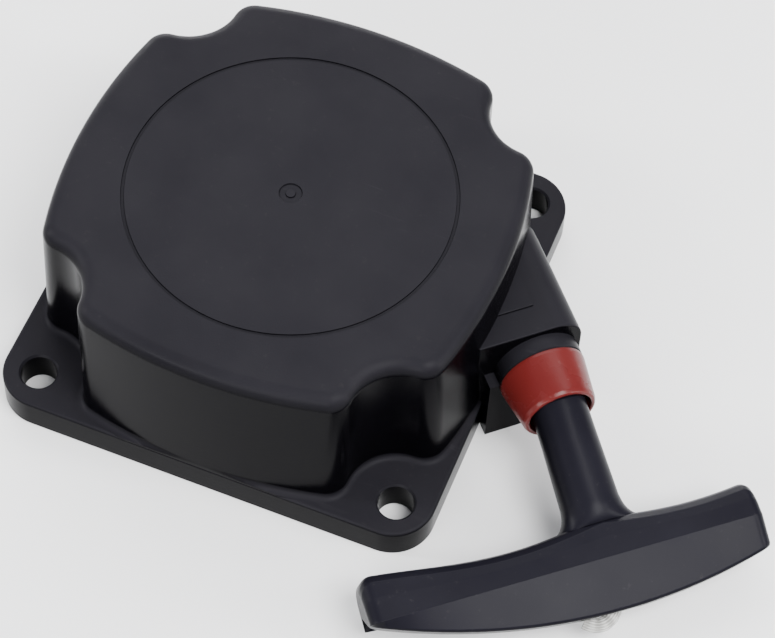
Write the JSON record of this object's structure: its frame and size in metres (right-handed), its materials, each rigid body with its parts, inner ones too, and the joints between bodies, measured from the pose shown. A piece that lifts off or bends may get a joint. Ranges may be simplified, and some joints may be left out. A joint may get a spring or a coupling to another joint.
{
  "type": "recoil starter",
  "caption": "Pull starter with a square-flanged housing, sprung rope reel, swing-out pawls, rope outlet collar and T handle.",
  "frame": {"origin": "centre of the four mounting holes, on the face of the flange that bolts to the engine", "axes": "+Z out of the closed top of the housing, +X to the side that the rope leaves from, +Y away from the handle"},
  "size_m": [0.15, 0.1098, 0.0394],
  "materials": {
    "housing_plastic": "satin moulded nylon",
    "collar_plastic": "glossy moulded plastic",
    "handle_plastic": "smooth moulded plastic",
    "reel_plastic": "natural nylon",
    "rope_fibre": "braided cord",
    "spring_steel": "oiled blue steel strip",
    "zinc_steel": "zinc plated",
    "pawl_steel": "sintered steel",
    "bush_bronze": "sintered bronze"
  },
  "bodies": {
    "casing": {"housing": "housing_plastic", "rope_collar": "collar_plastic", "recoil_spring": "spring_steel", "spring_cover": "zinc_steel", "spring_cover_screws": "zinc_steel", "outlet_rope": "rope_fibre", "thrust_washer": "zinc_steel", "centre_screw": "zinc_steel"},
    "rope_reel": {"reel": "reel_plastic", "reel_bush": "bush_bronze", "rope_coil": "rope_fibre", "reel_knot": "rope_fibre", "pawl_pin_1": "zinc_steel", "pawl_pin_2": "zinc_steel", "friction_spring": "spring_steel"},
    "pawl_guide": {"guide_plate": "zinc_steel"},
    "first_pawl": {"pawl_1": "pawl_steel"},
    "second_pawl": {"pawl_2": "pawl_steel"},
    "pull_handle": {"handle": "handle_plastic", "handle_washer": "zinc_steel", "handle_rope": "rope_fibre", "handle_knot": "rope_fibre"}
  },
  "joints": [
    {"name": "reel_spin", "type": "hinge", "parent": "casing", "child": "rope_reel", "pos_m": [0, 0, 0.0174], "axis": [0, 0, -1], "range_deg": [0, 1584], "stiffness_Nm_per_rad": 0.008, "springref_deg": -572.96, "deforming": ["recoil_spring"]},
    {"name": "handle_pull", "type": "slide", "parent": "casing", "child": "pull_handle", "axis": [0.6691, -0.7431, 0], "range_m": [0, 0.732]},
    {"name": "guide_turn", "type": "hinge", "parent": "rope_reel", "child": "pawl_guide", "pos_m": [0, 0, 0.0059], "axis": [0, 0, 1], "range_deg": [0, 22]},
    {"name": "pawl_1_swing", "type": "hinge", "parent": "rope_reel", "child": "first_pawl", "pos_m": [0.02, 0, 0.0092], "axis": [0, 0, 1], "range_deg": [0, 30.1]},
    {"name": "pawl_2_swing", "type": "hinge", "parent": "rope_reel", "child": "second_pawl", "pos_m": [-0.02, 0, 0.0092], "axis": [0, 0, 1], "range_deg": [0, 30.1]}
  ],
  "couplings": [
    {"joint": "handle_pull", "follows": "reel_spin", "m_per_rad": 0.02641},
    {"joint": "pawl_1_swing", "follows": "guide_turn", "ratio": 1.3636},
    {"joint": "pawl_2_swing", "follows": "guide_turn", "ratio": 1.3636}
  ]
}
